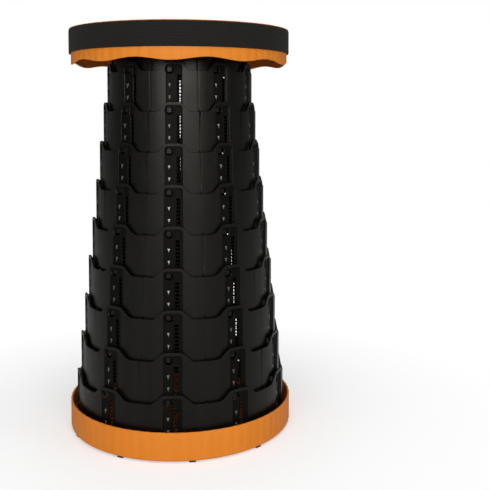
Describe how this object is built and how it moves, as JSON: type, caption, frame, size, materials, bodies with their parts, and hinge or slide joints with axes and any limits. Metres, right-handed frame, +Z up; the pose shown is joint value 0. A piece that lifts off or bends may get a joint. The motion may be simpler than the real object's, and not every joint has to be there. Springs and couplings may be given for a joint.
{
  "type": "telescopic stool",
  "caption": "Round collapsible stool of nested telescopic plastic sections between a tray base and a seat lid, with a webbing band and carry handle.",
  "frame": {"origin": "on the ground, on the axis of the sections, at the middle of the pad's underside", "axes": "+Z up along the axis of the sections, -Y towards the side seen in the picture, +Y towards the carry handle"},
  "size_m": [0.2532, 0.3193, 0.45],
  "materials": {
    "black_plastic": "semi-matte moulded plastic",
    "orange_plastic": "semi-matte moulded plastic",
    "black_webbing": "ribbed woven webbing",
    "black_rubber": "matte rubber",
    "screw_steel": "zinc plated"
  },
  "bodies": {
    "base": {"base_shell": "orange_plastic", "anti_slip_pad": "black_rubber"},
    "section_10": {"telescopic_section_10": "black_plastic"},
    "section_09": {"telescopic_section_09": "black_plastic"},
    "section_08": {"telescopic_section_08": "black_plastic"},
    "section_07": {"telescopic_section_07": "black_plastic"},
    "section_06": {"telescopic_section_06": "black_plastic"},
    "section_05": {"telescopic_section_05": "black_plastic"},
    "section_04": {"telescopic_section_04": "black_plastic"},
    "section_03": {"telescopic_section_03": "black_plastic"},
    "section_02": {"telescopic_section_02": "black_plastic"},
    "seat": {"telescopic_section_01": "black_plastic", "seat_lid": "orange_plastic", "seat_center_cap": "orange_plastic", "seat_screw_01": "screw_steel", "seat_screw_02": "screw_steel", "seat_screw_03": "screw_steel", "seat_screw_04": "screw_steel", "seat_screw_05": "screw_steel", "cap_screw_01": "screw_steel", "cap_screw_02": "screw_steel", "cap_screw_03": "screw_steel", "cap_screw_04": "screw_steel", "strap_band": "black_webbing", "strap_overlap": "black_webbing", "strap_end_tab": "black_webbing", "carry_handle": "black_webbing"}
  },
  "joints": [
    {"name": "section_10_slide", "type": "slide", "parent": "base", "child": "section_10", "axis": [0, 0, 1], "range_m": [-0.0089, 0]},
    {"name": "section_09_slide", "type": "slide", "parent": "section_10", "child": "section_09", "axis": [0, 0, 1], "range_m": [-0.043, 0]},
    {"name": "section_08_slide", "type": "slide", "parent": "section_09", "child": "section_08", "axis": [0, 0, 1], "range_m": [-0.043, 0]},
    {"name": "section_07_slide", "type": "slide", "parent": "section_08", "child": "section_07", "axis": [0, 0, 1], "range_m": [-0.043, 0]},
    {"name": "section_06_slide", "type": "slide", "parent": "section_07", "child": "section_06", "axis": [0, 0, 1], "range_m": [-0.043, 0]},
    {"name": "section_05_slide", "type": "slide", "parent": "section_06", "child": "section_05", "axis": [0, 0, 1], "range_m": [-0.043, 0]},
    {"name": "section_04_slide", "type": "slide", "parent": "section_05", "child": "section_04", "axis": [0, 0, 1], "range_m": [-0.043, 0]},
    {"name": "section_03_slide", "type": "slide", "parent": "section_04", "child": "section_03", "axis": [0, 0, 1], "range_m": [-0.043, 0]},
    {"name": "section_02_slide", "type": "slide", "parent": "section_03", "child": "section_02", "axis": [0, 0, 1], "range_m": [-0.043, 0]},
    {"name": "seat_slide", "type": "slide", "parent": "section_02", "child": "seat", "axis": [0, 0, 1], "range_m": [-0.0359, 0]}
  ]
}
